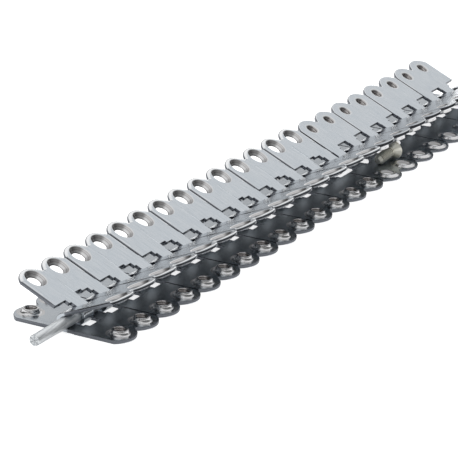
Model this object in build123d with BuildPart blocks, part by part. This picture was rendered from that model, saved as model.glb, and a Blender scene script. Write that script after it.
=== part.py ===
from build123d import *
import os
from math import atan, cos, degrees, radians, sin, sqrt, tan

# Hinged screw-on belt fastener strip, as delivered: open, with a row of folded plates on each side
# of one steel cable. X runs across the joint, Y along the cable and Z up. The lower legs lie on
# Z = 0, and the origin is under the middle of the cable.

# Folded plate, in millimetres and degrees
sheet = 1.8
finger_pitch = 20.0
plate_gap = 0.8
leg_length = 31.5
tip_radius = 11.3
hole_reach = 24.0
opening_angle = 23.5
valley_radius = 1.0
sunk_corner_radius = 0.8
threaded_corner_radius = 0.3
rim_round = 0.8

# Hinge
cable_diameter = 5.6
cable_clearance = 0.1
cable_overhang = 26.0
cable_end_chamfer = 0.3
loop_width = 8.4
loop_offset = 5.0
root_width = 10.4
root_setback = 0.3
root_start = 5.0
window_reach = 7.5
catch_width = 4.6
catch_depth = 1.3

# Countersunk hole, pressed in as a dish with a low raised ring on the belt side
sink_radius = 5.7
clearance_hole_radius = 3.3
sink_angle = 90.0
ring_height = 1.0
ring_mouth_chamfer = 0.15
ring_crest_radius = 4.5
ring_base_radius = 6.8
ring_crest_slope = 0.4
ring_foot_slope = 0.1

# Threaded hole, drawn in as a collar on the belt side
thread_radius = 2.5
collar_height = 2.3
collar_radius = 3.9
collar_taper = 0.2
collar_base_radius = 5.2
collar_mouth_chamfer = 0.5
collar_entry_radius = 1.5

# Crease between the two fingers of the countersunk leg
crease_width = 0.7
crease_depth = 0.2

# Strip: plates on each side, the first run with countersunk legs on top, the rest turned over
fingers_per_plate = 2
upright_plate_count = 7
turned_plate_count = 4

# Loose countersunk screw, lying in the channel of the first turned plate on the right
screw_thread_radius = 2.95
screw_length = 16.0
screw_head_radius = 5.65
screw_head_rim = 0.5
screw_lead_length = 2.4
screw_lead_radius = 1.9
recess_span = 5.4
recess_width = 1.2
recess_depth = 2.6
recess_taper = 8.0
screw_rest_x = 16.9
screw_head_y = 36.0
screw_turn = 8.0
rest_clearance = 0.1

# Sizes that follow from those above
inner_radius = cable_diameter / 2 + cable_clearance
mid_radius = inner_radius + sheet / 2
outer_radius = inner_radius + sheet
axis_height = outer_radius
plate_pitch = fingers_per_plate * finger_pitch
edge_low = plate_gap / 2
edge_high = plate_pitch - plate_gap / 2
finger_centres = [(i + 0.5) * finger_pitch for i in range(fingers_per_plate)]
loop_centres = [centre + loop_offset for centre in finger_centres]
strip_length = (upright_plate_count + turned_plate_count) * plate_pitch
tip_centre = leg_length - tip_radius
fold_take_up = mid_radius * radians(opening_angle)

# Each leg's plane has its local X along the leg, away from the fold, and its local Y along +Y.
lower_plane = Plane(origin=(0, 0, -mid_radius), x_dir=(-1, 0, 0), z_dir=(0, 0, -1))
rise = radians(opening_angle)
upper_plane = Plane(
    origin=(mid_radius * sin(rise), 0, mid_radius * cos(rise)),
    x_dir=(-cos(rise), 0, sin(rise)),
    z_dir=(-sin(rise), 0, -cos(rise)),
)


def leg_blank(extra_length, corner_radius):
    """Blank of one leg: two round-tipped fingers, and the two strips that run on into the loops."""
    centre = tip_centre + extra_length
    valley = centre + sqrt(tip_radius**2 - (finger_pitch / 2) ** 2)
    corner = centre + sqrt(tip_radius**2 - (finger_pitch / 2 - edge_low) ** 2)
    tip = leg_length + extra_length
    with BuildSketch() as blank:
        with BuildLine():
            Line((corner, edge_low), (window_reach, edge_low))
            Line((window_reach, edge_low), (window_reach, edge_high))
            Line((window_reach, edge_high), (corner, edge_high))
            ThreePointArc((corner, edge_low), (tip, finger_centres[0]), (valley, finger_pitch))
            ThreePointArc((valley, finger_pitch), (tip, finger_centres[1]), (corner, edge_high))
        make_face()
        fillet(blank.vertices().sort_by_distance((valley, finger_pitch))[0], valley_radius)
        for edge in (edge_low, edge_high):
            fillet(blank.vertices().sort_by_distance((corner, edge))[0], corner_radius)
        for i in range(fingers_per_plate):
            root_high = min((i + 1) * finger_pitch - root_setback, edge_high)
            root_low = (i + 1) * finger_pitch - root_setback - root_width
            with Locations(((root_start + window_reach) / 2, (root_low + root_high) / 2)):
                Rectangle(window_reach - root_start, root_high - root_low)
            with Locations((root_start / 2, loop_centres[i])):
                Rectangle(root_start, loop_width)
    return blank.sketch


# Ring of a countersunk hole, revolved about its axis, with the belt side towards +Z
with BuildPart() as ring:
    ring_top = sheet / 2 + ring_height
    with BuildSketch(Plane.XZ):
        with BuildLine():
            Polyline((0, 0), (0, ring_top), (ring_crest_radius, ring_top))
            Spline(
                (ring_crest_radius, ring_top),
                (ring_base_radius, sheet / 2),
                tangents=((1, -ring_crest_slope), (1, -ring_foot_slope)),
            )
            Polyline((ring_base_radius, sheet / 2), (ring_base_radius, 0), (0, 0))
        make_face()
    revolve(axis=Axis.Z)

# Tool for the countersunk hole: a cone from the outer face, and the chamfered hole through the ring
with BuildPart() as sink:
    cone_depth = (sink_radius - clearance_hole_radius) / tan(radians(sink_angle / 2))
    with BuildSketch(Plane.XZ):
        with BuildLine():
            Polyline(
                (0, -sheet),
                (sink_radius, -sheet),
                (sink_radius, -sheet / 2),
                (clearance_hole_radius, -sheet / 2 + cone_depth),
                (clearance_hole_radius, ring_top - ring_mouth_chamfer),
                (clearance_hole_radius + ring_mouth_chamfer, ring_top),
                (clearance_hole_radius + ring_mouth_chamfer, ring_top + sheet),
                (0, ring_top + sheet),
                (0, -sheet),
            )
        make_face()
    revolve(axis=Axis.Z)

# Collar of a threaded hole, with its flared base
with BuildPart() as collar:
    collar_top = sheet / 2 + collar_height
    base_round = collar_base_radius - collar_radius - collar_taper
    with BuildSketch(Plane.XZ):
        with BuildLine():
            Polyline(
                (0, 0),
                (0, collar_top),
                (collar_radius, collar_top),
                (collar_radius + collar_taper, sheet / 2 + base_round),
            )
            RadiusArc(
                (collar_radius + collar_taper, sheet / 2 + base_round),
                (collar_base_radius, sheet / 2),
                base_round,
            )
            Polyline((collar_base_radius, sheet / 2), (collar_base_radius, 0), (0, 0))
        make_face()
    revolve(axis=Axis.Z)

# Tool for the threaded hole: drawn-in entry on the outer face, bore, and chamfered mouth
with BuildPart() as bore:
    mouth_radius = thread_radius + collar_mouth_chamfer
    entry_radius = thread_radius + collar_entry_radius
    with BuildSketch(Plane.XZ):
        with BuildLine():
            Polyline((0, -sheet), (entry_radius, -sheet), (entry_radius, -sheet / 2))
            RadiusArc(
                (entry_radius, -sheet / 2),
                (thread_radius, -sheet / 2 + collar_entry_radius),
                collar_entry_radius,
            )
            Polyline(
                (thread_radius, -sheet / 2 + collar_entry_radius),
                (thread_radius, collar_top - collar_mouth_chamfer),
                (mouth_radius, collar_top),
                (mouth_radius, collar_top + sheet),
                (0, collar_top + sheet),
                (0, -sheet),
            )
        make_face()
    revolve(axis=Axis.Z)

# Threaded leg, flat, with its belt side towards -Z
with BuildPart() as threaded_leg:
    with BuildSketch():
        add(leg_blank(0, threaded_corner_radius))
    extrude(amount=sheet / 2, both=True)
    with Locations(*[Location((hole_reach, y, 0), (180, 0, 0)) for y in finger_centres]):
        add(collar.part)
        add(bore.part, mode=Mode.SUBTRACT)

# Countersunk leg, flat, with its belt side towards +Z: its outer rim is rounded off
with BuildPart() as sunk_leg:
    with BuildSketch():
        add(leg_blank(fold_take_up, sunk_corner_radius))
        with Locations((window_reach + catch_depth / 2, finger_pitch + catch_width / 2)):
            Rectangle(catch_depth, catch_width, mode=Mode.SUBTRACT)
    extrude(amount=sheet / 2, both=True)
    outline = sunk_leg.faces().sort_by(Axis.Z)[0].outer_wire().edges()
    fillet([edge for edge in outline if edge.center().X > window_reach + catch_depth], rim_round)
    with Locations(*[(hole_reach + fold_take_up, y) for y in finger_centres]):
        add(ring.part)
        add(sink.part, mode=Mode.SUBTRACT)
    with BuildSketch(Plane.XY.offset(-sheet / 2)):
        crease_low = window_reach + catch_depth
        crease_high = tip_centre + fold_take_up
        with Locations(((crease_low + crease_high) / 2, finger_pitch)):
            Rectangle(crease_high - crease_low, crease_width)
    extrude(amount=crease_depth, mode=Mode.SUBTRACT)

# The folded plate, about its own fold axis: threaded leg flat below, countersunk leg rising above
with BuildPart() as plate:
    with Locations(lower_plane.location):
        add(threaded_leg.part)
    with Locations(upper_plane.location):
        add(sunk_leg.part)
    with BuildSketch(*[Plane.XZ.offset(-y) for y in loop_centres]):
        with BuildLine():
            CenterArc((0, 0), mid_radius, -90, 180 - opening_angle)
        trace(line_width=sheet)
    extrude(amount=loop_width / 2, both=True)

# Hinge cable, right through both rows, with its free ends
with BuildPart() as hinge_cable:
    with BuildSketch(Plane.XZ.offset(strip_length / 2 + cable_overhang)):
        with Locations((0, axis_height)):
            Circle(cable_diameter / 2)
    extrude(amount=-(strip_length + 2 * cable_overhang))
    chamfer(hinge_cable.edges().filter_by(GeomType.CIRCLE), cable_end_chamfer)

# Loose screw, made upright: tip down at Z = 0, head on top
with BuildPart() as screw:
    cone_height = screw_head_radius - screw_thread_radius
    head_start = screw_length - screw_head_rim - cone_height
    with BuildSketch(Plane.XZ):
        with BuildLine():
            Polyline(
                (0, 0),
                (screw_lead_radius, 0),
                (screw_thread_radius, screw_lead_length),
                (screw_thread_radius, head_start),
                (screw_head_radius, screw_length - screw_head_rim),
                (screw_head_radius, screw_length),
                (0, screw_length),
                (0, 0),
            )
        make_face()
    revolve(axis=Axis.Z)
    with BuildSketch(Plane.XY.offset(screw_length)):
        Rectangle(recess_span, recess_width)
        Rectangle(recess_width, recess_span)
    extrude(amount=-recess_depth, taper=recess_taper, mode=Mode.SUBTRACT)

# The strip's places: a plate's own frame has its fold on Y and its fingers from Y = 0 to plate_pitch.
middle = plate_pitch / 2


def plate_place(side, index):
    """Place of one plate in the strip, for side -1 (left) or 1 (right), counted from the near end."""
    start = -strip_length / 2 + index * plate_pitch
    seat = Location((0, start + middle, axis_height))
    centred = Location((0, -middle, 0))
    if index < upright_plate_count:
        turn = Location((0, 0, 0), (0, 0, 0 if side < 0 else 180))
    elif side < 0:
        turn = Location((0, 0, 0), (0, opening_angle, 0)) * Location((0, 0, 0), (180, 0, 0))
    else:
        turn = Location((0, 0, 0), (0, 180 - opening_angle, 0))
    return seat * turn * centred


os.makedirs("parts", exist_ok=True)
pieces = []
for side, name in ((-1, "left"), (1, "right")):
    for index in range(upright_plate_count + turned_plate_count):
        with BuildPart() as placed:
            with Locations(plate_place(side, index)):
                add(plate.part)
        placed.part.label = f"{name}_plate_{index + 1:02d}"
        pieces.append(placed.part)

# The screw lies on the start of its thread and on its head's rim, on the belt side of the lower leg.
rim_start = screw_length - screw_head_rim
lean = degrees(atan((screw_head_radius - screw_thread_radius) / (rim_start - screw_lead_length)))
channel_start = -strip_length / 2 + upright_plate_count * plate_pitch
lying = (
    Location((screw_rest_x, channel_start + screw_head_y, sheet + rest_clearance))
    * Location((0, 0, 0), (0, 0, -screw_turn))
    * Location((0, 0, 0), (-90 + lean, 0, 0))
    * Location((0, -screw_head_radius, -rim_start))
)
with BuildPart() as loose_screw:
    with Locations(lying):
        add(screw.part)

hinge_cable.part.label = "hinge_cable"
loose_screw.part.label = "loose_screw"
pieces += [hinge_cable.part, loose_screw.part]
for piece in pieces:
    export_step(piece, f"parts/{piece.label}.step")
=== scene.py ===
"""Belt fastener strip: folded zinc-plated plates looped side by side round a steel hinge cable."""
import math

import bpy
import numpy as np
from mathutils import Matrix, Vector


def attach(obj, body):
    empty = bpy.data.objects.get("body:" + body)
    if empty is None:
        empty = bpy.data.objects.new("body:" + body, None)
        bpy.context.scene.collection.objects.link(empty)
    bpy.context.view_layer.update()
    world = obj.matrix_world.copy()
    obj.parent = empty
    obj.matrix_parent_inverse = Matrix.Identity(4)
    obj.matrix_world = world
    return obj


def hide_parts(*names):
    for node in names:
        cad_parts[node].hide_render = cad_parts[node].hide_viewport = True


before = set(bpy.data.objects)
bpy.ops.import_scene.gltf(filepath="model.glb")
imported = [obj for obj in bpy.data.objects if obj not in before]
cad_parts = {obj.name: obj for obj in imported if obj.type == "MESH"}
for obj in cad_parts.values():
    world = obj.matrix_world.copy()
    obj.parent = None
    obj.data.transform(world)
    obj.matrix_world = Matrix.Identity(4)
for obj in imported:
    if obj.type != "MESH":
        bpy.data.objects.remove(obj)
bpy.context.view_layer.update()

MM = 0.001
FULL_TURN = 2 * math.pi

# Lengths nearer than CLOSE are the same, TINY keeps a division clear of zero, and points that share a
# step of the grid with this many steps to the millimetre are one point
CLOSE = 1e-6
TINY = 1e-9
JOIN_STEPS = 1e4

# Folded plate. Lengths are in millimetres up to make_piece, which turns them into metres
SHEET = 1.8
HALF = SHEET / 2
FINGER_PITCH = 20.0
EDGE_LOW = 0.4
EDGE_HIGH = 39.6
LEG_LENGTH = 31.5
TIP_RADIUS = 11.3
HOLE_REACH = 24.0
VALLEY_RADIUS = 1.0
SUNK_CORNER = 0.8
THREADED_CORNER = 0.3
OPEN_ANGLE = math.radians(23.5)
MID_RADIUS = 3.8
AXIS_HEIGHT = 4.7
TAKE_UP = MID_RADIUS * OPEN_ANGLE
ARC = MID_RADIUS * (math.pi - OPEN_ANGLE)

# Loops, the strips behind them, windows, and the crease between two fingers, in the developed sheet
ROOT_START = 5.0
WINDOW_REACH = 7.5
LOOPS = ((10.8, 19.2), (30.8, 39.2))
ROOTS = ((9.3, 19.7), (29.3, 39.6))
CATCH = (20.0, 24.6)
CATCH_DEPTH = 1.3
CREASE = (19.7, 20.3)
CREASE_SLOPE = 0.15
CREASE_DEPTH = 0.2
CREASE_RUN_IN = 0.5
CREASE_RUN_OUT = 1.5

# Sheared edges: rolled over on the outer face, most of all round the countersunk fingers, and slightly
# rounded on the belt side. The turns are the angles at which a rounded edge has a row of points, and
# facing is the cosine of the angle between an edge's way out and its leg's direction
OUTER_ROUND = 0.28
END_ROUND = 0.6
SIDE_ROUND = 0.75
RIM_ROUND = 0.95
INNER_ROUND = 0.25
OUTER_TURNS = (18, 36, 54, 72, 90)
INNER_TURNS = (0, 30, 60)
CROWN = 0.15
CROWN_LIMIT = 0.3
CROWN_FACING = 0.8
TIP_FACING = (0.6, 0.9)
LEG_FADE = 3.0
LOOP_MARGIN = 1.0

# Painted highlights on the rims fade out between two widths from a countersunk finger's rim, and between
# two angles over its rounding. The dark colour of the sheared face, partly its own tone and partly painted
# shade in the gaps between plates, begins at an angle too, a later one where the edge is rolled over
# further.
# Angles in radians
RIM_SHINE = 0.45
SHINE_WIDTH = (0.6, 1.6)
SHINE_ANGLES = (0.7, 1.2)
SHEARED_SHADE_FROM = 0.25
ROLLED_FURTHER = 1.05
SHEARED_SHADE_BLEND = 0.2

# The belt side of the right row gets painted shade, where the upper legs hang over it, and more
# roughness, from the fold to where the holes begin
BELT_SIDE_HEIGHT = -0.7
SHADE_AND_MATT_FADE = (17.0, 25.0)
SHADE_AND_MATT_LOSS = 0.85

# Fineness of the plate's mesh
FLAT_STEP = 0.95
SIDE_POINTS = 15
CORNER_POINTS = 4
TIP_POINTS = 31
ARC_ROWS = 23

# Holes: a ring of cells joins each hole's circle to its finger's outline
CELL_REACH = 10.5
CELL_RING = 6.9
CELL_ROWS = np.array([0, 0.2, 0.45, 0.72, 1.0])[:, None, None]
# Painted highlight on the pressed ring or collar of each hole
PRESSED_SHINE = 0.5

# Countersunk hole, with a raised ring on the belt side. The flare's rows stand at even shares of its
# width, from the first share to the whole
DISH_INSET = 0.75
DISH_RADIUS = 5.7
DISH_LIP = 0.8
LIP_ROWS = 6
# The dish's first lip rows carry the painted highlight of the face they meet
BRIGHT_LIP_ROWS = 4
RING_HEIGHT = 1.0
FLARE_START = 4.5
FLARE_WIDTH = 2.3
FLARE_FIRST = 0.12
FLARE_ROWS = 8
FLARE_SLOPES = (0.92, 0.23)

# Threaded hole, with a drawn collar on the belt side
ENTRY_ROUND = 1.5
ENTRY_ROWS = 15
BORE_RADIUS = 2.5
BORE_ROWS = 19
MOUTH_DEPTH = 0.5
COLLAR_HEIGHT = 2.3
COLLAR_FLAT = 3.7
COLLAR_EDGE = 0.22
COLLAR_FOOT = 5.2
FOOT_ROUND = 1.1
THREAD_PITCH = 1.0
THREAD_DEPTH = 0.5
THREAD_FLANK = 1.5
THREAD_LAND = 0.25

# Strip
UPRIGHT = 7
TURNED = 4
PLATE_PITCH = 40.0
STRIP = (UPRIGHT + TURNED) * PLATE_PITCH

# Cable
OVERHANG = 26.0
CABLE_LAY = 140.0
CABLE_RADIUS = 2.8
CABLE_COLUMNS = 144
CABLE_STEPS = (0.9, 2.2)
FINE_STEPS_PAST = 8.0
STRANDS = 6
STRAND_DEPTH = 0.09
WIRES = 36
WIRE_DEPTH = 0.04
WIRE_WANDER = 0.9
WANDER_RATE = 0.3
STRAND_GAP = 0.6
WIRE_GAP = 0.35
END_CHAMFER = 0.3
END_RINGS = 14
END_LAST_RING = 0.02
END_GAP_DEPTH = 0.25
END_WIRE = 0.95
END_WIRE_PHASE = 0.3

# Loose screw
SCREW_COLUMNS = 72
SCREW_LENGTH = 16.0
SCREW_CREST = 2.95
SCREW_CORE = 2.35
SCREW_LEAD = 2.4
SCREW_LEAD_RADIUS = 1.9
TIP_RINGS = (0.02, 0.6, 1.2, 1.6)
SHANK_TOP = 12.35
SHANK_STEP = 0.1
THREAD_LEAST = 0.1
THREAD_RUN_OUT = (11.4, 12.2)
THREAD_DARK_FROM = 0.3
NECK = (11.6, 12.3)
NECK_DEPTH = 0.42
HEAD_RADIUS = 5.65
HEAD_RIM = 0.5
RECESS_RINGS = [*np.linspace(3.0, 0.1, 30), 0.02]
RECESS_REACH = 2.7
RECESS_HALF = 0.6
RECESS_WALL = 0.2
RECESS_DEPTHS = (1.0, 2.6)
RECESS_SLOPE = 0.9
SCREW_PLACE = (16.9, 96.0, 1.9)
SCREW_TURN = 8.0


def share(value, low, high):
    """How far a value has gone from low to high: 0 before, 1 beyond, and in proportion between them."""
    return np.clip((value - low) / (high - low), 0, 1)


def stepped(marks, step):
    """The given marks, with evenly spaced values put between them so that none is over a step apart."""
    runs = []
    for low, high in zip(marks, marks[1:]):
        count = max(1, math.ceil((high - low) / step - CLOSE))
        runs.append(np.linspace(low, high, count + 1)[:-1])
    return np.concatenate(runs + [[marks[-1]]])


def arc_points(centre, radius, start, end, count):
    """Points at equal angles on a circle, from the start angle to the end angle, in degrees."""
    turn = np.radians(np.linspace(start, end, count))
    return np.stack([centre[0] + radius * np.cos(turn), centre[1] + radius * np.sin(turn)], 1)


def grid_quads(rows, columns, closed=False):
    """Quads of a grid of points numbered row by row, whose last column may join the first."""
    across = columns if closed else columns - 1
    row, column = np.meshgrid(np.arange(rows - 1), np.arange(across), indexing="ij")
    beside = (column + 1) % columns
    here = row * columns
    ahead = here + columns
    return np.stack([here + column, here + beside, ahead + beside, ahead + column], -1).reshape(-1, 4)


def flat_grid(along, across):
    """Points and quads of a flat grid, from its lines along and across the plate."""
    points = np.stack(np.meshgrid(along, across, indexing="ij"), -1).reshape(-1, 2)
    return points, grid_quads(len(along), len(across))


def signed_area(ring):
    """Twice the area inside a closed ring of flat points, above zero where it runs anticlockwise."""
    ahead = np.roll(ring, -1, -2)
    return (ring[..., 0] * ahead[..., 1] - ahead[..., 0] * ring[..., 1]).sum(-1)


def lines_across():
    """Lines of the sheet's grid across the plate: one at each edge of its loops, strips, catch and
    crease, one at each foot of the crease's slopes, and even steps between them."""
    marks = {EDGE_LOW, EDGE_HIGH, CREASE[0] + CREASE_SLOPE, CREASE[1] - CREASE_SLOPE}
    for edges in (*LOOPS, *ROOTS, CATCH, CREASE):
        marks.update(edges)
    return stepped(sorted(marks), FLAT_STEP)


ACROSS = lines_across()


def lines_within(low, high):
    """The lines across the plate from one edge of a band to the other, both edges included."""
    return ACROSS[(ACROSS > low - CLOSE) & (ACROSS < high + CLOSE)]


def in_bands(values, bands):
    """True where a value lies inside one of the bands."""
    return np.any([(values > low) & (values < high) for low, high in bands], 0)


def finger_outline(tip_centre, cell_start, mirrored, corner):
    """Outline of one finger round its hole: straight side, corner round, tip arc, valley round and the
    line along the crease, then the cell's straight start. Each round touches its neighbours, so its
    centre lies where the two radii meet. With it comes how far along the leg the valley's centre is."""
    half = FINGER_PITCH / 2
    corner_along = tip_centre + math.sqrt((TIP_RADIUS - corner) ** 2 - (half - EDGE_LOW - corner) ** 2)
    corner_turn = math.degrees(math.atan2(EDGE_LOW + corner - half, corner_along - tip_centre))
    valley_along = tip_centre + math.sqrt((TIP_RADIUS + VALLEY_RADIUS) ** 2 - half**2)
    valley_turn = math.degrees(math.atan2(half, valley_along - tip_centre))
    crease_turn = math.degrees(math.asin((FINGER_PITCH - CREASE[0]) / VALLEY_RADIUS))
    crease_along = valley_along - VALLEY_RADIUS * math.cos(math.radians(crease_turn))
    side = np.linspace(cell_start, corner_along, SIDE_POINTS)
    back = cell_start + np.linspace(1, 0, SIDE_POINTS) * (crease_along - cell_start)
    start = ACROSS[(ACROSS > EDGE_LOW) & (ACROSS < CREASE[0])][::-1]
    if mirrored:
        start = 2 * FINGER_PITCH - ACROSS[(ACROSS > CREASE[1]) & (ACROSS < EDGE_HIGH)]
    valley = (valley_along, FINGER_PITCH)
    outline = np.concatenate([
        np.stack([side, np.full(SIDE_POINTS, EDGE_LOW)], 1),
        arc_points((corner_along, EDGE_LOW + corner), corner, -90, corner_turn, CORNER_POINTS)[1:],
        arc_points((tip_centre, half), TIP_RADIUS, corner_turn, valley_turn, TIP_POINTS)[1:],
        arc_points(valley, VALLEY_RADIUS, 180 + valley_turn, 180 + crease_turn, CORNER_POINTS)[1:],
        np.stack([back, np.full(SIDE_POINTS, CREASE[0])], 1)[1:],
        np.stack([np.full(len(start), cell_start), start], 1),
    ])
    if mirrored:
        outline[:, 1] = 2 * FINGER_PITCH - outline[:, 1]
        outline = outline[::-1]
    return outline, valley_along


def leg_patches(extra, catch, corner):
    """Flat patches of one leg in (along, across) millimetres: the grid from the fold to the hole cells,
    the two fingers' cells between each hole's circle and its finger's outline, and the crease strip.
    With them come each hole's centre and circle."""
    cell_start = HOLE_REACH + extra - CELL_REACH
    tip_centre = LEG_LENGTH + extra - TIP_RADIUS
    catch_end = WINDOW_REACH + CATCH_DEPTH
    lines = stepped([0, ROOT_START, WINDOW_REACH, catch_end, cell_start], FLAT_STEP)
    points, quads = flat_grid(lines, ACROSS)
    along, across = points[quads].mean(1).T
    behind = (along > WINDOW_REACH) | in_bands(across, ROOTS)
    keep = np.where(along < ROOT_START, in_bands(across, LOOPS), behind)
    if catch:
        keep &= ~(in_bands(along, [(WINDOW_REACH, catch_end)]) & in_bands(across, [CATCH]))
    patches = [(points, quads[keep])]
    holes = []
    for finger in range(2):
        outline, valley_along = finger_outline(tip_centre, cell_start, finger == 1, corner)
        centre = np.array([HOLE_REACH + extra, (finger + 0.5) * FINGER_PITCH])
        away = outline - centre
        circle = centre + CELL_RING * away / np.linalg.norm(away, axis=1)[:, None]
        cells = circle + CELL_ROWS * (outline - circle)
        patches.append((cells.reshape(-1, 2), grid_quads(len(CELL_ROWS), len(outline), closed=True)))
        holes.append((centre, circle))
    across = lines_within(*CREASE)
    end = valley_along - np.sqrt(VALLEY_RADIUS**2 - (across - FINGER_PITCH) ** 2)
    along = cell_start + np.linspace(0, 1, SIDE_POINTS)[:, None] * (end - cell_start)
    strip = np.stack([along, np.broadcast_to(across, along.shape)], -1)
    patches.append((strip.reshape(-1, 2), grid_quads(*along.shape)))
    return patches, holes


def folded(place, above):
    """Place in space of points of the developed sheet. The first number runs from the lower leg's tip,
    round the fold and up the other leg, the second along the fold, and above is the height over the
    sheet's middle towards the outer face. Straight legs are joined by an arc about the fold's axis."""
    along, across = place[..., 0], place[..., 1]
    turn = np.clip(along, 0, ARC) / MID_RADIUS - math.pi / 2
    radius = MID_RADIUS + above
    past = np.maximum(along - ARC, 0)
    x = radius * np.cos(turn) + np.minimum(along, 0) - past * math.cos(OPEN_ANGLE)
    z = radius * np.sin(turn) + past * math.sin(OPEN_ANGLE)
    return np.stack([x, across, z], -1)


def joined(patches):
    """One list of points and quads from several patches, with points that meet made one, and the new
    numbers of each patch's points."""
    points = np.concatenate([points for points, quads in patches])
    shift = np.cumsum([0] + [len(points) for points, quads in patches])
    quads = np.concatenate([quads + start for (_, quads), start in zip(patches, shift)])
    keys = np.round(points * JOIN_STEPS).astype(np.int64)
    _, first, same = np.unique(keys, axis=0, return_index=True, return_inverse=True)
    same = same.reshape(-1)
    used, slim = np.unique(same[quads], return_inverse=True)
    number = np.zeros(len(first), np.int64)
    number[used] = np.arange(len(used))
    numbers = [number[same[start:end]] for start, end in zip(shift, shift[1:])]
    return points[first][used], slim.reshape(-1, 4), numbers


def developed_plate():
    """The plate's sheet before it is folded: points in (along, across) millimetres, with the lower leg
    before the fold's arc and the upper leg after it, quads that run anticlockwise, and the four holes,
    each with its centre, its circle, the numbers of its cells' points and whether it is dished."""
    legs = (
        (leg_patches(TAKE_UP, True, SUNK_CORNER), [1, 1], [ARC, 0], True),
        (leg_patches(0, False, THREADED_CORNER), [-1, 1], [0, 0], False),
    )
    patches = []
    holes = []
    for (leg, circles), way, shift, dished in legs:
        for finger, (centre, circle) in enumerate(circles):
            hole = {"centre": centre * way + shift, "circle": circle * way + shift, "dished": dished}
            hole["patch"] = len(patches) + 1 + finger
            holes.append(hole)
        patches += [(points * way + shift, quads) for points, quads in leg]
    patches += [flat_grid(np.linspace(0, ARC, ARC_ROWS), lines_within(*loop)) for loop in LOOPS]
    flat, quads, numbers = joined(patches)
    clockwise = signed_area(flat[quads]) < 0
    quads[clockwise] = quads[clockwise][:, ::-1]
    for hole in holes:
        hole["cells"] = numbers[hole["patch"]].reshape(len(CELL_ROWS), -1)
    return flat, quads, holes


def outline_edges(quads, count, holes):
    """The edges that only one quad has, apart from those on a hole's circle, as pairs of points."""
    edges = np.stack([quads, np.roll(quads, -1, 1)], -1).reshape(-1, 2)
    keys = np.sort(edges, 1) @ np.array([count, 1])
    _, where, times = np.unique(keys, return_index=True, return_counts=True)
    rim = edges[where[times == 1]]
    on_circle = np.zeros(count, bool)
    for hole in holes:
        on_circle[hole["cells"][0]] = True
    return rim[~on_circle[rim].all(1)]


def ways_out(flat, rim):
    """Each outline point's way out of the sheet, as long as a corner needs for both its edges to move by
    one millimetre. Points off the outline get zero."""
    run = flat[rim[:, 1]] - flat[rim[:, 0]]
    out = np.stack([run[:, 1], -run[:, 0]], 1) / np.linalg.norm(run, axis=1)[:, None]
    total = np.zeros_like(flat)
    np.add.at(total, rim[:, 0], out)
    np.add.at(total, rim[:, 1], out)
    miter = 2 * total / np.maximum((total**2).sum(1), TINY)[:, None]
    miter[np.abs(total).sum(1) == 0] = 0
    return miter


def hole_profile(points, bore, lip, pressed):
    """A hole's turned profile, from the outer face to the belt side: radius, height, and the marks of
    the threaded bore, the painted highlight on the lip and the painted highlight on the pressed side, row
    by row."""
    radius, height = points.T
    marks = {"bore": bore, "lip": lip, "pressed": pressed}
    return {"radius": radius, "height": height, **{name: mark * 1.0 for name, mark in marks.items()}}


def dish_profile():
    """Turned profile of a countersunk hole: rounded lip, 90 degree cone, short clearance hole with a
    flared mouth, rounded crest of the raised ring, and its long flare, whose height is a smooth step
    with a slope at each end. Rows of numbers are radius and height over the sheet's middle."""
    tangent = DISH_LIP * math.tan(math.radians(45 / 2))
    low = -(HALF + RING_HEIGHT)
    lip = arc_points((DISH_RADIUS + tangent, HALF - DISH_LIP), DISH_LIP, 90, 135, LIP_ROWS)
    cone = [[4.9, 0.1], [4.2, -0.6], [3.5, -1.3], [3.36, -1.46]]
    throat = [[3.3, -1.58], [3.32, -1.68]]
    crest = [[3.42, -1.79], [3.65, -1.87], [4.0, low], [4.4, low + 0.015]]
    out = np.linspace(FLARE_FIRST, 1, FLARE_ROWS)
    start_slope = FLARE_SLOPES[0] * out * (1 - out) ** 2
    end_slope = FLARE_SLOPES[1] * out**2 * (1 - out)
    rise = out**2 * (3 - 2 * out) + start_slope - end_slope
    flare = np.stack([FLARE_START + FLARE_WIDTH * out, low + rise], 1)
    points = np.concatenate([lip, cone, throat, crest, flare])
    row = np.arange(len(points))
    bright_lip = 1 - share(row, 0, BRIGHT_LIP_ROWS)
    ring_start = LIP_ROWS + len(cone) + len(throat)
    return hole_profile(points, bore=0 * row, lip=bright_lip, pressed=row >= ring_start)


def collar_profile():
    """Turned profile of a threaded hole: rounded entry, threaded bore, chamfered mouth, and the collar's
    wall with its rounded foot. Rows of numbers are radius and height over the sheet's middle."""
    low = -(HALF + COLLAR_HEIGHT)
    entry_end = HALF - ENTRY_ROUND
    entry = arc_points((BORE_RADIUS + ENTRY_ROUND, entry_end), ENTRY_ROUND, 90, 180, ENTRY_ROWS)
    heights = np.linspace(entry_end, low + MOUTH_DEPTH, BORE_ROWS + 1)[1:]
    bore = np.stack([np.full(BORE_ROWS, BORE_RADIUS), heights], 1)
    mouth = [[2.75, low + 0.25], [3.0, low + 0.02], [3.1, low], [COLLAR_FLAT, low]]
    edge = arc_points((COLLAR_FLAT, low + COLLAR_EDGE), COLLAR_EDGE, 270, 360, 3)[1:]
    wall = [[4.0, -2.45], [4.06, -2.1]]
    foot = arc_points((COLLAR_FOOT, -HALF - FOOT_ROUND), FOOT_ROUND, 180, 90, 5)
    points = np.concatenate([entry, bore, mouth, edge, wall, foot])
    row = np.arange(len(points))
    mouth_start = ENTRY_ROWS + BORE_ROWS
    threaded = (row > ENTRY_ROWS // 2) & (row < mouth_start + 2)
    return hole_profile(points, bore=threaded, lip=0 * row, pressed=row >= mouth_start)


def thread_groove(phase):
    """Depth of a thread's groove, from 0 at the crest to 1 at the bottom, over one turn's phase: an even
    rise and fall, made steeper and then cut flat at both ends."""
    rise = 1 - np.abs(2 * (phase % 1.0) - 1)
    return np.clip(THREAD_FLANK * rise - THREAD_LAND, 0, 1)


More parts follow.
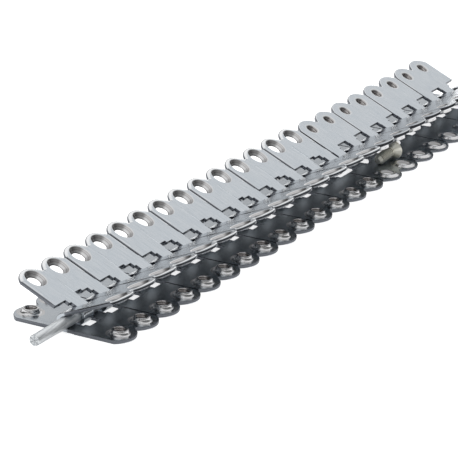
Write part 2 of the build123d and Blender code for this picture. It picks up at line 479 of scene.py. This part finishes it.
def layer(points, place, height, sheared_and_gap_shade=0.0, spin=0.0, bore=0.0, painted_highlight=0.0):
    """Some points of a plate with their marks. Flow is their place in the developed sheet, which the
    rolled lines follow. The sheared mark is for sheared faces, dark partly in their own tone and partly as
    painted shade between plates; spin is 1 at the top of a hole's wall and grows down it, bore marks the
    thread, and the last mark is the painted highlight on rims and pressed rings."""
    marks = {"sheared_and_gap_shade": sheared_and_gap_shade, "spin": spin, "bore": bore, "painted_highlight": painted_highlight}
    spread = {name: np.broadcast_to(value, len(points)) for name, value in marks.items()}
    flow = np.column_stack([place, np.broadcast_to(height, len(points))])
    return {"points": points, "flow": flow, **spread}


def hole_wall(hole, bright):
    """A hole's wall: its turned profile carried round its circle, where the bore's radius follows a
    helix. The lip carries the same painted highlight as the face that it meets, and the pressed side
    a painted highlight of its own."""
    profile = dish_profile() if hole["dished"] else collar_profile()
    spoke = (hole["circle"] - hole["centre"]) / CELL_RING
    columns = len(spoke)
    radius, height = (np.repeat(profile[name][:, None], columns, 1) for name in ("radius", "height"))
    groove = thread_groove(height / THREAD_PITCH + np.arctan2(spoke[:, 1], spoke[:, 0]) / FULL_TURN)
    threaded = np.maximum(radius, BORE_RADIUS + THREAD_DEPTH * groove)
    radius = np.where(profile["bore"][:, None] > 0, threaded, radius)
    place = hole["centre"] + radius[..., None] * spoke
    down = np.cumsum(np.hypot(np.diff(profile["radius"]), np.diff(profile["height"])))
    shine = np.outer(profile["lip"], bright[hole["cells"][0]]) + PRESSED_SHINE * profile["pressed"][:, None]
    return layer(
        folded(place, height).reshape(-1, 3),
        place.reshape(-1, 2),
        height.ravel(),
        spin=np.repeat(1 + np.concatenate([[0], down]), columns),
        bore=np.repeat(profile["bore"], columns),
        painted_highlight=shine.ravel(),
    )


def band(before, after):
    """Quads between edges and the matching edges of the next row."""
    return np.column_stack([before[:, 0], before[:, 1], after[:, 1], after[:, 0]])


def edge_form(flat, rim):
    """How the sheet's edge is made at each point: its way out, its rounding on the outer face, and how
    squarely it faces a countersunk tip or a threaded one, from 0 to 1. With them comes how far the point
    lies beyond the windows, measured along the upper leg and along the lower one."""
    miter = ways_out(flat, rim)
    heading = miter[:, 0] / np.maximum(np.linalg.norm(miter, axis=1), TINY)
    upper = flat[:, 0] - ARC - WINDOW_REACH - CATCH_DEPTH
    lower = -flat[:, 0] - WINDOW_REACH
    on_upper = share(upper, 0, LEG_FADE)
    sunk_tip = share(heading, 0, CROWN_FACING) * on_upper
    threaded_tip = share(-heading, *TIP_FACING) * share(lower, 0, LEG_FADE)
    rounding = OUTER_ROUND + (SIDE_ROUND - OUTER_ROUND) * share(upper, 0, 1)
    rounding += (END_ROUND - OUTER_ROUND) * threaded_tip
    rounding += (RIM_ROUND - SIDE_ROUND) * share(heading, *TIP_FACING) * on_upper
    return {
        "miter": miter,
        "rounding": rounding,
        "sunk_tip": sunk_tip,
        "threaded_tip": threaded_tip,
        "upper": upper,
        "lower": lower,
    }


def outer_face(flat, rim, holes, edge):
    """The outer face. It ends where the edge's rounding begins, draws in to each dish, sags towards the
    countersunk fingers' rims in proportion to their width, and has a shallow groove along the crease.
    With its points come its sag and its painted highlight, which is strongest along the rolled rims."""
    inset = -edge["rounding"][:, None] * edge["miter"]
    sag = np.zeros(len(flat))
    bright = np.zeros(len(flat))
    bright[rim.ravel()] = RIM_SHINE
    bright *= share(np.maximum(edge["upper"], edge["lower"]), 0, 1)
    row = CELL_ROWS[:, :, 0]
    for hole in holes:
        cells = hole["cells"]
        border = cells[-1]
        facing = edge["sunk_tip"][border]
        draw_in = (hole["centre"] - hole["circle"]) / CELL_RING * (DISH_INSET if hole["dished"] else 0.0)
        inset[cells] = (1 - CELL_ROWS) * draw_in + CELL_ROWS * inset[border]
        width = np.linalg.norm((flat + inset)[border] - hole["circle"] - draw_in, axis=1)
        sag[cells] = row * np.minimum(CROWN * width, CROWN_LIMIT) * facing
        shine = (1 - share((1 - row) * width, *SHINE_WIDTH)) * facing
        bright[cells] = np.maximum(bright[cells], shine)
    groove = share(CREASE[1] - FINGER_PITCH - np.abs(flat[:, 1] - FINGER_PITCH), 0, CREASE_SLOPE)
    groove *= share(edge["upper"], 0, CREASE_RUN_IN)
    groove *= share(ARC + LEG_LENGTH + TAKE_UP - TIP_RADIUS - flat[:, 0], 0, CREASE_RUN_OUT)
    return folded(flat + inset, HALF - sag - CREASE_DEPTH * groove), sag, bright


def rim_layers(flat, border, edge, sag, bright):
    """The rim's rows of points along the outline, over the outer rounding and then over the belt side's:
    each is moved along the way out by the rounding's sine, and stands as high as its cosine says."""
    soft = edge["rounding"][border]
    tall = soft - sag[border]
    hard = np.full(len(border), INNER_ROUND)
    rows = []
    for turn in np.radians(OUTER_TURNS):
        rows.append((soft * (math.sin(turn) - 1), HALF - soft + tall * math.cos(turn), turn))
    for turn in np.radians(INNER_TURNS):
        rows.append((hard * (math.cos(turn) - 1), hard * (1 - math.sin(turn)) - HALF, math.pi))
    rolled = np.maximum(edge["sunk_tip"], edge["threaded_tip"])[border]
    # The sheared faces' dark colour is partly their own tone and partly painted shade in the gaps between
    # plates; it is left off the loops' sides, which are lit
    sheared_shade_from = SHEARED_SHADE_FROM + ROLLED_FURTHER * rolled
    off_loops = ~in_bands(flat[border, 0], [(-LOOP_MARGIN, ARC + LOOP_MARGIN)])
    layers = []
    for offset, height, turn in rows:
        points = folded(flat[border] + offset[:, None] * edge["miter"][border], height)
        sheared_and_gap_shade = off_loops * share(turn, sheared_shade_from, sheared_shade_from + SHEARED_SHADE_BLEND)
        # Painted highlight on the rim, fading over its rounding
        painted_highlight = bright[border] * (1 - share(turn, *SHINE_ANGLES))
        layers.append(layer(points, flat[border], height, sheared_and_gap_shade=sheared_and_gap_shade, painted_highlight=painted_highlight))
    return layers


def plate_shape():
    """The folded plate about its own fold axis, in millimetres. The outer and the belt-side surface are
    the same developed sheet at two heights, a rounded rim joins them along the outline, and a turned
    profile joins them at each hole."""
    flat, quads, holes = developed_plate()
    count = len(flat)
    rim = outline_edges(quads, count, holes)
    edge = edge_form(flat, rim)
    outer, sag, bright = outer_face(flat, rim, holes, edge)
    inner = folded(flat - INNER_ROUND * edge["miter"], -HALF)
    layers = [layer(outer, flat, HALF, painted_highlight=bright), layer(inner, flat, -HALF)]
    faces = [quads[:, ::-1], quads + count]
    made = 2 * count

    border, pairs = np.unique(rim, return_inverse=True)
    before = rim
    for row in rim_layers(flat, border, edge, sag, bright):
        after = pairs.reshape(-1, 2) + made
        faces.append(band(before, after))
        layers.append(row)
        before = after
        made += len(border)
    faces.append(band(before, rim + count))

    for hole in holes:
        wall = hole_wall(hole, bright)
        ring = hole["cells"][0]
        body = np.arange(len(wall["points"])).reshape(-1, len(ring)) + made
        table = np.vstack([ring, body, ring + count])
        sides = table.ravel()[grid_quads(*table.shape, closed=True)]
        faces.append(sides[:, ::-1] if signed_area(flat[ring]) > 0 else sides)
        layers.append(wall)
        made += body.size
    marks = {name: np.concatenate([part[name] for part in layers]) for name in layers[0]}
    points = marks.pop("points")
    return points, np.concatenate(faces), marks


def belt_side(marks):
    """Mark of a plate's belt side off the pressed holes, which carries painted shade and roughness: 1 from
    the fold on, and fading where the holes begin."""
    along, height = marks["flow"][:, 0], marks["flow"][:, 2]
    from_fold = np.maximum(-along, along - ARC)
    on_flats = (height < BELT_SIDE_HEIGHT) * (marks["spin"] == 0)
    return on_flats * (1 - SHADE_AND_MATT_LOSS * share(from_fold, *SHADE_AND_MATT_FADE))


def turned(points, axis, angle):
    """Points turned by the right-hand rule about one axis through the origin, in degrees."""
    matrix = np.array(Matrix.Rotation(math.radians(angle), 3, axis))
    return points @ matrix.T


def in_strip(points, side, index):
    """A plate's points in their place in the strip, for side -1 (left) or 1 (right). The right row is
    turned end for end, and the last plates of each row are turned over."""
    points = points - [0, PLATE_PITCH / 2, 0]
    if index < UPRIGHT:
        points = turned(points, "Z", 0 if side < 0 else 180)
    elif side < 0:
        points = turned(turned(points, "X", 180), "Y", math.degrees(OPEN_ANGLE))
    else:
        points = turned(points, "Y", 180 - math.degrees(OPEN_ANGLE))
    return points + [0, -STRIP / 2 + (index + 0.5) * PLATE_PITCH, AXIS_HEIGHT]


def closed_tube(rows, columns):
    """Quads of rings numbered one after another, with the first and the last ring filled across."""
    quads = [grid_quads(rows, columns, closed=True)]
    step = np.arange(columns // 2 - 1)
    for start, way in ((0, 1), ((rows - 1) * columns, -1)):
        plug = start + np.stack([step, step + 1, columns - 2 - step, columns - 1 - step], 1)
        quads.append(plug[:, ::way])
    return np.concatenate(quads)


def cable_shape():
    """A laid cable along Y: six strands of wires, whose radius follows two sets of lobes on one helix.
    The ends are flat, with the wires' ends slightly domed and the gaps between them sunk. Its mesh is
    finer at the ends, to a little way inside the first and the last plate."""
    length = STRIP / 2 + OVERHANG
    inside = OVERHANG + FINE_STEPS_PAST
    ends = stepped([-length + END_CHAMFER, -length + inside], CABLE_STEPS[0])
    middle = stepped([-length + inside, length - inside], CABLE_STEPS[1])[1:-1]
    y = np.concatenate([ends, middle, -ends[::-1]])[:, None]
    around = np.arange(CABLE_COLUMNS) * FULL_TURN / CABLE_COLUMNS
    twist = around - y * FULL_TURN / CABLE_LAY
    strand = np.abs(np.sin(STRANDS / 2 * twist))
    wire = np.abs(np.sin(WIRES / 2 * twist + WIRE_WANDER * np.sin(y * WANDER_RATE)))
    radius = CABLE_RADIUS - STRAND_DEPTH * (1 - strand) ** 1.5 - WIRE_DEPTH * (1 - wire)
    # Painted shade between strands and wires
    gap = np.clip(STRAND_GAP * (1 - strand) ** 3 + WIRE_GAP * (1 - wire), 0, 1)
    x, z = radius * np.cos(around), radius * np.sin(around)
    body = np.stack([x, np.broadcast_to(y, radius.shape), z], -1)
    caps = []
    cap_gaps = []
    inward = np.linspace(1, END_LAST_RING, END_RINGS)[1:, None]
    for end, rim in ((-length, radius[0]), (length, radius[-1])):
        twist = around - end * FULL_TURN / CABLE_LAY
        reach = inward * rim
        outward = np.abs(np.sin(math.pi * reach / END_WIRE + END_WIRE_PHASE))
        sunk = (1 - np.abs(np.sin(STRANDS / 2 * twist)) * outward) ** 2
        y = end - math.copysign(END_GAP_DEPTH, end) * sunk
        caps.append(np.stack([reach * np.cos(around), y, reach * np.sin(around)], -1))
        # The sunk gaps in the ends also carry painted shade
        cap_gaps.append(sunk)
    rows = np.concatenate([caps[0][::-1], body, caps[1]])
    gaps = np.concatenate([cap_gaps[0][::-1], gap, cap_gaps[1]])
    points = rows.reshape(-1, 3) + [0, 0, AXIS_HEIGHT]
    return points, closed_tube(len(rows), CABLE_COLUMNS), {"gap": gaps.ravel()}


def screw_shape():
    """The loose screw lying in its place. Made upright on its tip as rings of points: the thread's groove
    follows a right-hand helix that runs out at the neck, the head is a cone with a rounded rim, and the
    cross recess sinks where a point lies inside one of two crossed bars. Rows of numbers are radius and
    height over the tip."""
    around = np.arange(SCREW_COLUMNS) * FULL_TURN / SCREW_COLUMNS
    whole = np.ones(SCREW_COLUMNS)
    tip = np.array(TIP_RINGS)[:, None] * whole
    up = np.arange(0.0, SHANK_TOP, SHANK_STEP)[:, None]
    crest = np.interp(up, [0, SCREW_LEAD], [SCREW_LEAD_RADIUS, SCREW_CREST])
    core = np.minimum(crest - THREAD_LEAST, SCREW_CORE)
    depth = (crest - core) * (1 - share(up, *THREAD_RUN_OUT))
    groove = thread_groove(up / THREAD_PITCH - around / FULL_TURN)
    shank = crest - np.maximum(depth * groove, np.interp(up, NECK, [0, NECK_DEPTH]))
    cone = SCREW_LENGTH - HEAD_RIM - HEAD_RADIUS
    head = np.array([
        [2.56, 12.6],
        [2.8, 12.82],
        [3.3, 3.3 + cone],
        [4.4, 4.4 + cone],
        [5.5, 5.5 + cone],
        [5.62, 5.66 + cone],
        [HEAD_RADIUS, 15.62],
        [HEAD_RADIUS, 15.86],
        [5.6, 15.96],
        [5.48, SCREW_LENGTH],
        [4.4, SCREW_LENGTH],
        [3.4, SCREW_LENGTH],
    ])
    inward = np.array(RECESS_RINGS)[:, None]
    x, y = inward * np.cos(around), inward * np.sin(around)
    bars = [np.minimum(RECESS_REACH - np.abs(a), RECESS_HALF - np.abs(b)) for a, b in ((x, y), (y, x))]
    sunk = share(np.maximum(*bars), 0, RECESS_WALL)
    recess = np.clip(RECESS_DEPTHS[1] - RECESS_SLOPE * np.hypot(x, y), *RECESS_DEPTHS)
    rings = np.concatenate([tip, shank, head[:, :1] * whole, inward * whole])
    level = np.concatenate([0 * tip, up * whole, head[:, 1:] * whole, SCREW_LENGTH - sunk * recess])
    points = np.stack([rings * np.cos(around), rings * np.sin(around), level], -1).reshape(-1, 3)
    rim_height = SCREW_LENGTH - HEAD_RIM
    lean = math.degrees(math.atan((HEAD_RADIUS - SCREW_CREST) / (rim_height - SCREW_LEAD)))
    points = turned(points - [0, HEAD_RADIUS, rim_height], "X", lean - 90)
    points = turned(points, "Z", -SCREW_TURN) + SCREW_PLACE
    gaps = np.zeros(rings.shape)
    # Painted shade in the thread's groove, where it is deep enough
    gaps[len(tip) : len(tip) + len(up)] = groove * (depth > THREAD_DARK_FROM)
    return points, closed_tube(len(rings), SCREW_COLUMNS), {"gap": gaps.ravel()}


def make_piece(name, shape, material, body, stands_for):
    """A smooth-shaded mesh object in metres, from its points and faces, with its faces outwards and its
    marks as attributes."""
    points, faces, marks = shape
    corner = points[faces]
    volume = 0.0
    for second in (1, 2):
        volume += (corner[:, 0] * np.cross(corner[:, second], corner[:, second + 1])).sum()
    if volume < 0:
        faces = faces[:, ::-1]
    mesh = bpy.data.meshes.new(name)
    mesh.vertices.add(len(points))
    mesh.vertices.foreach_set("co", (points * MM).astype(np.float32).ravel())
    mesh.loops.add(faces.size)
    mesh.loops.foreach_set("vertex_index", faces.astype(np.int32).ravel())
    mesh.polygons.add(len(faces))
    mesh.polygons.foreach_set("loop_start", np.arange(0, faces.size, 4, dtype=np.int32))
    mesh.polygons.foreach_set("use_smooth", np.ones(len(faces), bool))
    for label, values in marks.items():
        kind, field = ("FLOAT_VECTOR", "vector") if values.ndim == 2 else ("FLOAT", "value")
        mark = mesh.attributes.new(label, kind, "POINT")
        mark.data.foreach_set(field, values.astype(np.float32).ravel())
    mesh.update(calc_edges=True)
    mesh.validate()
    mesh.materials.append(material)
    piece = bpy.data.objects.new(name, mesh)
    bpy.context.scene.collection.objects.link(piece)
    weighted = piece.modifiers.new("flat_faces_lead", "WEIGHTED_NORMAL")
    weighted.keep_sharp = True
    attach(piece, body)
    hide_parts(stands_for)


def add(tree, kind, settings, inputs):
    """A node with its settings, and with its inputs set to values or joined to sockets. Inputs are given
    by name, or by number on nodes that use one name for several."""
    node = tree.nodes.new(kind)
    for key, value in settings.items():
        setattr(node, key, value)
    for key, value in inputs.items():
        if isinstance(value, bpy.types.NodeSocket):
            tree.links.new(value, node.inputs[key])
        else:
            node.inputs[key].default_value = value
    return node


def ramp(tree, value, low, high, to_low=0.0, to_high=1.0):
    """A value carried from one range to another, held at the ends."""
    ends = {0: value, 1: low, 2: high, 3: to_low, 4: to_high}
    return add(tree, "ShaderNodeMapRange", {}, ends).outputs[0]


def reckoned(tree, operation, first, second):
    """The result of a sum on two values."""
    return add(tree, "ShaderNodeMath", {"operation": operation}, {0: first, 1: second}).outputs[0]


def between(tree, factor, first, second):
    """A value between two, by a factor."""
    ends = {0: factor, 2: first, 3: second}
    return add(tree, "ShaderNodeMix", {"data_type": "FLOAT"}, ends).outputs[0]


def mix(tree, factor, first, second):
    """A colour between two, by a factor."""
    ends = {0: factor, 6: first, 7: second}
    return add(tree, "ShaderNodeMix", {"data_type": "RGBA"}, ends).outputs[2]


def noise(tree, place, scale, detail, roughness=0.5):
    """A noise value at a place."""
    inputs = {"Vector": place, "Scale": scale, "Detail": detail, "Roughness": roughness}
    return add(tree, "ShaderNodeTexNoise", {}, inputs).outputs[0]


def marked(tree, name):
    """The value of one of the mesh's marks."""
    return add(tree, "ShaderNodeAttribute", {"attribute_name": name}, {}).outputs["Fac"]


def principled(name):
    """A new material and its shader node."""
    material = bpy.data.materials.new(name)
    material.use_nodes = True
    tree = material.node_tree
    return material, tree, next(node for node in tree.nodes if node.type == "BSDF_PRINCIPLED")


# Look of the zinc sheet: its noise, the ranges of a mark or of the noise over which each colour comes
# in, how much of it is mixed in at most, the roughness and the bump
STREAK_STRETCH = 0.09
STREAK_FINENESS = 3.0
RING_FINENESS = 1.3
CLOUD_FINENESS = 0.14
RINGS_FADE = (0.3, 1.0)
STREAK_RANGE = (0.3, 0.7)
STREAK_COLOURS = ((0.46, 0.50, 0.54, 1), (0.62, 0.65, 0.68, 1))
CLOUD_RANGE = (0.35, 0.7)
CLOUD_COLOUR = (0.46, 0.51, 0.56, 1)
CLOUD_AMOUNT = 0.35
# Painted shade on the right row's belt side, under its upper legs
PAINTED_SHADE_COLOUR = (0.24, 0.27, 0.30, 1)
PAINTED_SHADE_AMOUNT = 0.8
RIDGE_RANGE = (0.4, 0.6)
RIDGE_COLOURS = ((0.34, 0.31, 0.30, 1), (0.70, 0.70, 0.70, 1))
RIDGE_FADE = (0.8, 1.6)
RIDGE_AMOUNT = 0.8
# Painted highlight on the rims and pressed rings
PAINTED_HIGHLIGHT_COLOUR = (0.88, 0.89, 0.90, 1)
# Sheared faces: partly their own dark tone, partly painted shade in the gaps between plates
SHEARED_AND_GAP_SHADE_COLOUR = (0.16, 0.17, 0.19, 1)
# Painted shade in the threaded bores, in the darker ridge colour
BORE_AMOUNT = 0.6
SHEET_ROUGHNESS = (0.14, 0.24)
DULL_ROUGHNESS = 0.2
BUMP_STRENGTH = 0.06
BUMP_DISTANCE = 0.0002


def rolled_streaks():
    """A group of two values. Streak is noise stretched along the sheet's rolling direction, or in rings
    inside pressed holes, and Cloud is broad noise for patches of the plating. Fine is how much finer
    the noise is across the rolling direction."""
    group = bpy.data.node_groups.new("rolled_streaks", "ShaderNodeTree")
    interface = group.interface
    interface.new_socket(name="Flow", in_out="INPUT", socket_type="NodeSocketVector")
    interface.new_socket(name="Spin", in_out="INPUT", socket_type="NodeSocketFloat")
    fine_socket = interface.new_socket(name="Fine", in_out="INPUT", socket_type="NodeSocketFloat")
    fine_socket.default_value = STREAK_FINENESS
    interface.new_socket(name="Streak", in_out="OUTPUT", socket_type="NodeSocketFloat")
    interface.new_socket(name="Cloud", in_out="OUTPUT", socket_type="NodeSocketFloat")
    source = group.nodes.new("NodeGroupInput")
    result = group.nodes.new("NodeGroupOutput")
    flow, spin, fineness = (source.outputs[name] for name in ("Flow", "Spin", "Fine"))
    parts = add(group, "ShaderNodeSeparateXYZ", {}, {"Vector": flow})
    stretched = {
        "X": reckoned(group, "MULTIPLY", parts.outputs["X"], STREAK_STRETCH),
        "Y": reckoned(group, "MULTIPLY", parts.outputs["Y"], fineness),
        "Z": parts.outputs["Z"],
    }
    lines = add(group, "ShaderNodeCombineXYZ", {}, stretched)
    rings = add(group, "ShaderNodeCombineXYZ", {}, {"X": 0.5, "Y": spin, "Z": 0.5})
    fine = noise(group, lines.outputs[0], scale=1.0, detail=3.0, roughness=0.65)
    ridges = noise(group, rings.outputs[0], scale=RING_FINENESS, detail=2.0, roughness=0.6)
    streak = between(group, ramp(group, spin, *RINGS_FADE), fine, ridges)
    cloud = noise(group, flow, scale=CLOUD_FINENESS, detail=4.0, roughness=0.6)
    group.links.new(streak, result.inputs["Streak"])
    group.links.new(cloud, result.inputs["Cloud"])
    return group


def zinc_sheet():
    """Bright zinc on rolled sheet: streaked and cloudy flats, painted shade and more roughness on the right
    row's belt side, warm ridges in the pressed holes, painted highlights on rims and pressed rings, sheared
    edges dark partly by their own tone and partly by painted shade, and painted shade in the bores, each
    mixed over the last by its mark. The streaks also set the roughness and a faint bump."""
    material, tree, shader = principled("zinc_sheet")
    marks = ("sheared_and_gap_shade", "spin", "bore", "shade_and_matt", "painted_highlight")
    sheared_and_gap_shade, spin, bore, shade_and_matt, painted_highlight = (marked(tree, name) for name in marks)
    flow = add(tree, "ShaderNodeAttribute", {"attribute_name": "flow"}, {}).outputs["Vector"]
    streaks = add(tree, "ShaderNodeGroup", {"node_tree": rolled_streaks()}, {"Flow": flow, "Spin": spin})
    streak, cloud = streaks.outputs["Streak"], streaks.outputs["Cloud"]
    base = mix(tree, ramp(tree, streak, *STREAK_RANGE), *STREAK_COLOURS)
    ridged = mix(tree, ramp(tree, streak, *RIDGE_RANGE), *RIDGE_COLOURS)
    colour = mix(tree, ramp(tree, cloud, *CLOUD_RANGE, to_high=CLOUD_AMOUNT), base, CLOUD_COLOUR)
    # Painted shade on the right row's belt side
    colour = mix(tree, ramp(tree, shade_and_matt, 0.0, 1.0, to_high=PAINTED_SHADE_AMOUNT), colour, PAINTED_SHADE_COLOUR)
    colour = mix(tree, ramp(tree, spin, *RIDGE_FADE, to_high=RIDGE_AMOUNT), colour, ridged)
    # Painted highlight on rims and pressed rings
    colour = mix(tree, painted_highlight, colour, PAINTED_HIGHLIGHT_COLOUR)
    # Dark sheared faces, partly painted shade in the gaps between plates
    colour = mix(tree, sheared_and_gap_shade, colour, SHEARED_AND_GAP_SHADE_COLOUR)
    # Painted shade in the threaded bores
    colour = mix(tree, ramp(tree, bore, 0.0, 1.0, to_high=BORE_AMOUNT), colour, RIDGE_COLOURS[0])
    tree.links.new(colour, shader.inputs["Base Color"])
    shader.inputs["Metallic"].default_value = 1.0
    even = ramp(tree, streak, *STREAK_RANGE, *SHEET_ROUGHNESS)
    rough = reckoned(tree, "ADD", even, ramp(tree, shade_and_matt, 0.0, 1.0, to_high=DULL_ROUGHNESS))
    tree.links.new(rough, shader.inputs["Roughness"])
    relief = {"Strength": BUMP_STRENGTH, "Distance": BUMP_DISTANCE, "Height": streak}
    bump = add(tree, "ShaderNodeBump", {}, relief)
    tree.links.new(bump.outputs[0], shader.inputs["Normal"])
    return material


def spotted_zinc(name, scale, detail, colours, gap_shade_colour, metallic, roughness):
    """Zinc between two colours in fine spots of noise, mixed to a darker colour as painted shade in the
    gaps
    that the mesh marks: between the cable's wires, and in the screw's thread."""
    material, tree, shader = principled(name)
    place = add(tree, "ShaderNodeTexCoord", {}, {}).outputs["Object"]
    base = mix(tree, noise(tree, place, scale, detail), *colours)
    tree.links.new(mix(tree, marked(tree, "gap"), base, gap_shade_colour), shader.inputs["Base Color"])
    shader.inputs["Metallic"].default_value = metallic
    shader.inputs["Roughness"].default_value = roughness
    return material


ZINC_SHEET = zinc_sheet()
CABLE_ZINC = spotted_zinc(
    "cable_zinc",
    scale=900.0,
    detail=2.0,
    colours=((0.74, 0.77, 0.79, 1), (0.84, 0.86, 0.87, 1)),
    gap_shade_colour=(0.42, 0.45, 0.48, 1),
    metallic=0.7,
    roughness=0.42,
)
YELLOWISH_ZINC = spotted_zinc(
    "screw_zinc",
    scale=350.0,
    detail=3.0,
    colours=((0.86, 0.85, 0.74, 1), (0.95, 0.94, 0.85, 1)),
    gap_shade_colour=(0.16, 0.15, 0.10, 1),
    metallic=0.6,
    roughness=0.3,
)

# Plates: one shape for all, with its streaks shifted from plate to plate. Each row has its name, its
# side, where its streaks start and how much painted shade and roughness its belt side gets
ROWS = (
    ("left", -1, (0.0, 0.0, -13.0), 0.0),
    ("right", 1, (71.0, 0.0, 13.0), 1.0),
)
STREAK_STEP = np.array([137.0, 59.0, 0.0])
PLATE_POINTS, PLATE_FACES, PLATE_MARKS = plate_shape()
BELT_SIDE = belt_side(PLATE_MARKS)
for row, side, streak_start, shade_and_matt_amount in ROWS:
    for index in range(UPRIGHT + TURNED):
        node = f"{row}_plate_{index + 1:02d}"
        marks = dict(PLATE_MARKS)
        marks["flow"] = PLATE_MARKS["flow"] + streak_start + index * STREAK_STEP
        marks["shade_and_matt"] = shade_and_matt_amount * BELT_SIDE
        shape = in_strip(PLATE_POINTS, side, index), PLATE_FACES, marks
        make_piece(f"{row}_sheet_{index + 1:02d}", shape, ZINC_SHEET, node, node)

make_piece("laid_cable", cable_shape(), CABLE_ZINC, "cable", "hinge_cable")
make_piece("countersunk_screw", screw_shape(), YELLOWISH_ZINC, "right_plate_08", "loose_screw")

# Camera, fitted to the fingers, holes and windows of the picture. From here on lengths are in metres,
# but the focal length is in pixels of the picture, and the sensor's width in millimetres
IMAGE = 458
SENSOR = 36.0
FOCAL = 3101.24
CAMERA_PLACE = (0.67583, -1.35850, 0.52111)
AZIMUTH = -0.480074
ELEVATION = 0.339825
ROLL = 0.041638

# Air that the strip sees. Each range is one of how far a direction points up, or to a side, or to the
# panel, and the brightness goes from its first value to its second over that range
HEIGHT_RANGE = (0.08, 0.48)
HEIGHT_LIGHT = (0.15, 0.95)
RIGHT_RANGE = (0.3, 0.7)
RIGHT_LIGHT = (1.0, 0.35)
LEFT_RANGE = (-0.55, -0.85)
LEFT_LIGHT = (1.0, 0.25)
PANEL_WAY = (-0.22, 0.95, 0.22)
PANEL_RANGE = (0.975, 0.99)
PANEL_LIGHT = 1.4

# Floor: its glow as the camera sees it, in mirror images, and over the range beyond the strip
FLOOR_HALF = 4.0
FLOOR_DROP = 0.0002
GLOW_SEEN = 0.75
GLOW_MIRRORED = 0.3
GLOW_BEYOND = 0.9
BEYOND_RANGE = (0.3, 0.6)


def fitted_camera():
    """The camera, aimed by azimuth and elevation and then rolled about its line of sight, in radians."""
    aim = np.array([
        math.cos(ELEVATION) * math.sin(AZIMUTH),
        math.cos(ELEVATION) * math.cos(AZIMUTH),
        -math.sin(ELEVATION),
    ])
    level = np.cross(aim, [0, 0, 1])
    level /= np.linalg.norm(level)
    upward = np.cross(level, aim)
    right = math.cos(ROLL) * level + math.sin(ROLL) * upward
    top = -math.sin(ROLL) * level + math.cos(ROLL) * upward
    lens = bpy.data.cameras.new("camera")
    lens.sensor_width = SENSOR
    lens.lens = FOCAL / IMAGE * SENSOR
    lens.clip_start = 0.05
    lens.clip_end = 50.0
    camera = bpy.data.objects.new("camera", lens)
    turn = Matrix((right, top, -aim)).transposed().to_4x4()
    camera.matrix_world = Matrix.Translation(Vector(CAMERA_PLACE)) @ turn
    bpy.context.scene.collection.objects.link(camera)
    bpy.context.scene.camera = camera


def soft_box(name, place, size, power):
    """A square area lamp that looks at the strip's middle, and that polished faces don't mirror."""
    lamp = bpy.data.lights.new(name, "AREA")
    lamp.shape = "SQUARE"
    lamp.size = size
    lamp.energy = power
    holder = bpy.data.objects.new(name, lamp)
    holder.location = place
    holder.rotation_euler = (-Vector(place)).to_track_quat("-Z", "Y").to_euler()
    holder.visible_glossy = False
    bpy.context.scene.collection.objects.link(holder)


def studio_air():
    """White air to the camera. To the strip it is pale overhead, darker low down and at both sides, with
    a small bright panel low behind the strip, which the rims and loops mirror."""
    world = bpy.data.worlds.new("studio")
    bpy.context.scene.world = world
    world.use_nodes = True
    air = world.node_tree
    background = air.nodes["Background"]
    background.inputs["Color"].default_value = (1, 1, 1, 1)
    way = add(air, "ShaderNodeTexCoord", {}, {}).outputs["Generated"]
    parts = add(air, "ShaderNodeSeparateXYZ", {}, {"Vector": way}).outputs
    overhead = ramp(air, parts["Z"], *HEIGHT_RANGE, *HEIGHT_LIGHT)
    right = ramp(air, parts["X"], *RIGHT_RANGE, *RIGHT_LIGHT)
    left = ramp(air, parts["X"], *LEFT_RANGE, *LEFT_LIGHT)
    dimmed = reckoned(air, "MULTIPLY", overhead, reckoned(air, "MULTIPLY", right, left))
    nearness = add(air, "ShaderNodeVectorMath", {"operation": "DOT_PRODUCT"}, {0: way, 1: PANEL_WAY})
    panel = ramp(air, nearness.outputs["Value"], *PANEL_RANGE, to_high=PANEL_LIGHT)
    shade = reckoned(air, "MAXIMUM", dimmed, panel)
    seen = add(air, "ShaderNodeLightPath", {}, {}).outputs["Is Camera Ray"]
    air.links.new(between(air, seen, shade, 1.0), background.inputs["Strength"])


def paper_floor():
    """A pale sheet of paper, a hair below the strip. It glows white to the camera, faintly in the metal's
    mirror images, and brightly to all other rays too once it lies beyond the strip."""
    mesh = bpy.data.meshes.new("floor")
    corners = [(x * FLOOR_HALF, y * FLOOR_HALF, 0) for x, y in ((-1, -1), (1, -1), (1, 1), (-1, 1))]
    mesh.from_pydata(corners, [], [(0, 1, 2, 3)])
    floor = bpy.data.objects.new("floor", mesh)
    floor.location = (0, 0, -FLOOR_DROP)
    bpy.context.scene.collection.objects.link(floor)
    paper, tree, shader = principled("paper")
    shader.inputs["Base Color"].default_value = (0.86, 0.86, 0.86, 1)
    shader.inputs["Roughness"].default_value = 0.9
    shader.inputs["Emission Color"].default_value = (1, 1, 1, 1)
    rays = add(tree, "ShaderNodeLightPath", {}, {}).outputs
    place = add(tree, "ShaderNodeTexCoord", {}, {}).outputs["Object"]
    away = add(tree, "ShaderNodeVectorMath", {"operation": "LENGTH"}, {0: place}).outputs["Value"]
    beyond = ramp(tree, away, *BEYOND_RANGE, to_high=GLOW_BEYOND)
    mirrored = reckoned(tree, "MULTIPLY", rays["Is Glossy Ray"], GLOW_MIRRORED)
    unseen = reckoned(tree, "MAXIMUM", beyond, mirrored)
    glow = between(tree, rays["Is Camera Ray"], unseen, GLOW_SEEN)
    tree.links.new(glow, shader.inputs["Emission Strength"])
    mesh.materials.append(paper)


fitted_camera()
soft_box("key", place=(-1.3, 1.4, 2.0), size=2.2, power=45.0)
studio_air()
paper_floor()
bpy.context.scene.view_settings.view_transform = "Standard"
